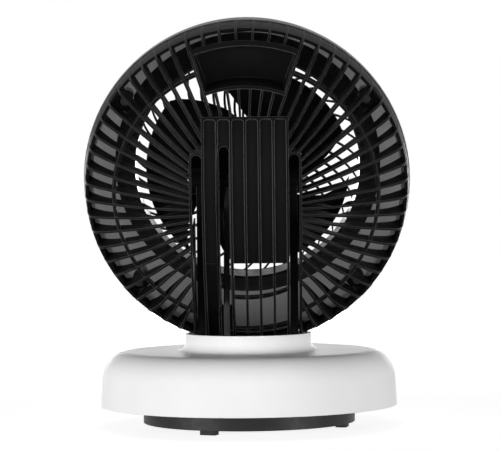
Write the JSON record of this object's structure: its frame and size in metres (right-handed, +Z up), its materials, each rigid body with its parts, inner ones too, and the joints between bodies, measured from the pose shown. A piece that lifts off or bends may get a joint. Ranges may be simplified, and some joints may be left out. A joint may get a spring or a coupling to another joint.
{
  "type": "air circulator fan",
  "caption": "Table air circulator: a ball-shaped head with a domed rear grille tilts on a fork above a round white swivelling base.",
  "frame": {"origin": "on the floor, under the swivel axis, at the middle of the bounding box's bottom", "axes": "+Z up, the air leaves towards -Y, the tilt axis runs along X"},
  "size_m": [0.2394, 0.2166, 0.2992],
  "materials": {
    "black_plastic": "satin",
    "foot_black": "matte",
    "charcoal_plastic": "satin",
    "white_plastic": "satin",
    "feet_rubber": "matte",
    "lead_sleeve": "satin",
    "nylon": "satin",
    "steel": "bright",
    "motor_metal": "satin",
    "board_green": "satin"
  },
  "bodies": {
    "foot": {"foot_plate": "foot_black", "rubber_feet": "feet_rubber", "glide_washer": "nylon", "swivel_post": "steel", "keeper_washer": "steel", "circlip": "steel", "swivel_gear": "nylon"},
    "base": {"base_cover": "white_plastic", "base_floor": "black_plastic", "floor_screws": "steel", "cord_gland": "feet_rubber", "yoke": "black_plastic", "yoke_screws": "steel", "pivot_screws": "steel", "friction_washers": "nylon", "motor_lead": "lead_sleeve", "lead_gland": "feet_rubber", "control_board": "board_green", "rotary_switch": "black_plastic", "swing_motor": "motor_metal"},
    "pinion": {"swing_pinion": "nylon"},
    "knob": {"speed_knob": "black_plastic", "knob_shaft": "steel"},
    "button": {"swing_button": "black_plastic"},
    "head": {"rear_grille": "black_plastic", "front_shell": "charcoal_plastic", "air_duct": "black_plastic", "front_grille": "black_plastic", "front_cap": "charcoal_plastic", "rim_clip": "black_plastic", "shell_screws": "steel", "motor_mount": "black_plastic", "mount_screws": "steel", "motor_case": "motor_metal", "pivot_bushes": "nylon"},
    "rotor": {"motor_shaft": "steel", "impeller": "black_plastic", "impeller_nut": "black_plastic"}
  },
  "joints": [
    {"name": "base_swivel", "type": "hinge", "parent": "foot", "child": "base", "pos_m": [0, 0, 0.02], "axis": [0, 0, 1], "range_deg": [-35, 35]},
    {"name": "head_tilt", "type": "hinge", "parent": "base", "child": "head", "pos_m": [0, 0, 0.1795], "axis": [-1, 0, 0], "range_deg": [0, 76]},
    {"name": "fan_spin", "type": "hinge", "parent": "head", "child": "rotor", "pos_m": [0, 0, 0.1795], "axis": [0, 0.9711, -0.2385], "continuous": true},
    {"name": "knob_turn", "type": "hinge", "parent": "base", "child": "knob", "pos_m": [0, -0.072, 0.06], "axis": [0, 0, 1], "range_deg": [0, 150]},
    {"name": "button_press", "type": "slide", "parent": "base", "child": "button", "axis": [0, 0, -1], "range_m": [0, 0.0018], "stiffness_N_per_m": 300, "springref_m": -0.001},
    {"name": "pinion_turn", "type": "hinge", "parent": "base", "child": "pinion", "pos_m": [-0.024, 0, 0.027], "axis": [0, 0, 1], "range_deg": [-105, 105]}
  ],
  "couplings": [
    {"joint": "pinion_turn", "follows": "base_swivel", "ratio": 3}
  ]
}
